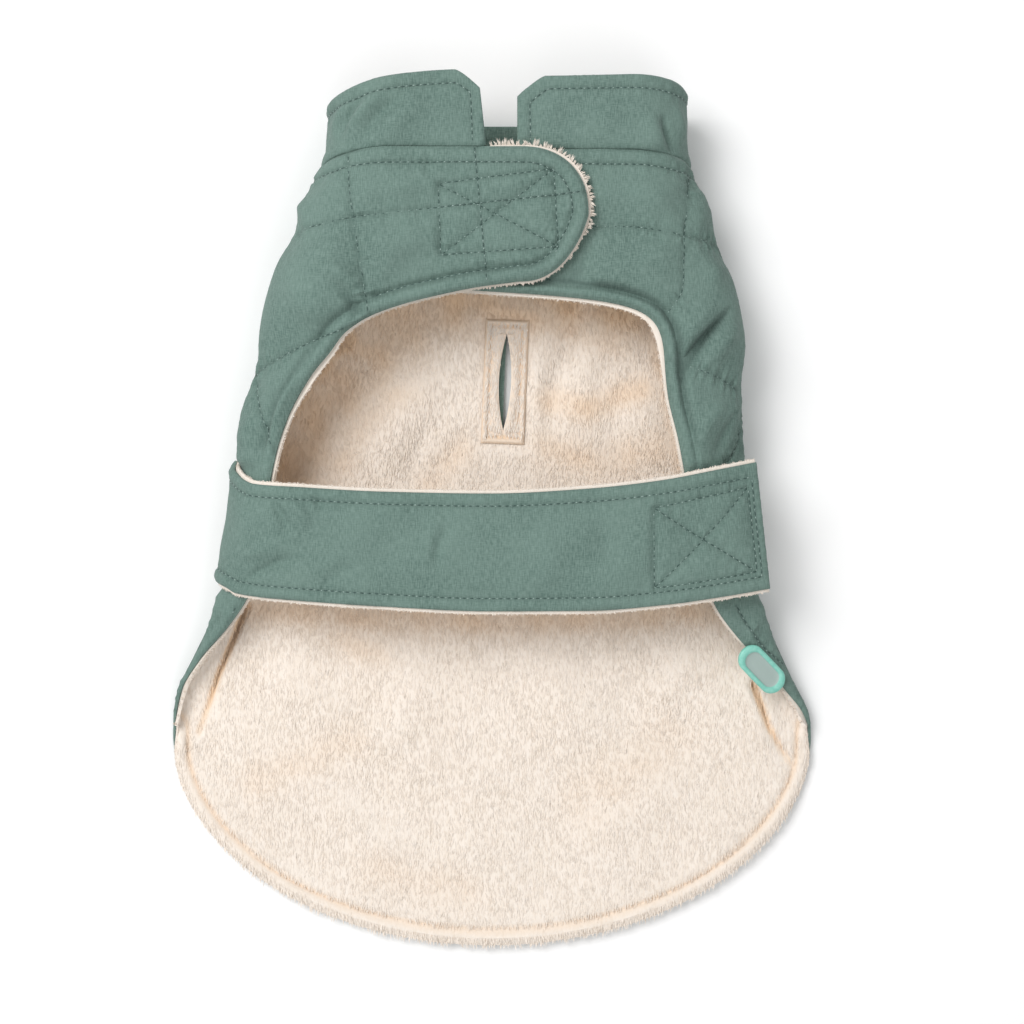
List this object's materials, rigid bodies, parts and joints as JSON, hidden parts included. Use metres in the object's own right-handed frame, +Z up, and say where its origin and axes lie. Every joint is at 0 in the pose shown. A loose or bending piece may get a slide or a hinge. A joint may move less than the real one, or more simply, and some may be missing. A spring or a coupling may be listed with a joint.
{
  "type": "dog winter coat",
  "caption": "Quilted winter coat for a small dog with a plush lining, stand collar, overlapping chest flap, belly strap and leash slit, laid belly up on its back panel.",
  "frame": {"origin": "on the surface that the coat lies on, below the middle of its bounding box", "axes": "+Y from the hem to the collar, +X towards the side that the chest flap closes over, +Z up from the back panel to the belly strap"},
  "size_m": [0.2734, 0.366, 0.0533],
  "materials": {
    "shell": "fine ribbed weave, quilted, matte",
    "plush": "short cream plush",
    "hook_and_loop": "woven tape, matte",
    "rubber": "soft moulded rubber, satin"
  },
  "bodies": {
    "root": {"back_shell": "shell", "left_front_shell": "shell", "right_front_shell": "shell", "collar": "shell", "belly_strap_shell": "shell", "back_lining": "plush", "left_front_lining": "plush", "right_front_lining": "plush", "belly_strap_lining": "plush", "slit_facing": "plush", "flap_hook_patch": "hook_and_loop", "chest_loop_patch": "hook_and_loop", "strap_hook_patch": "hook_and_loop", "side_loop_patch": "hook_and_loop", "edge_tag": "rubber"}
  },
  "joints": []
}
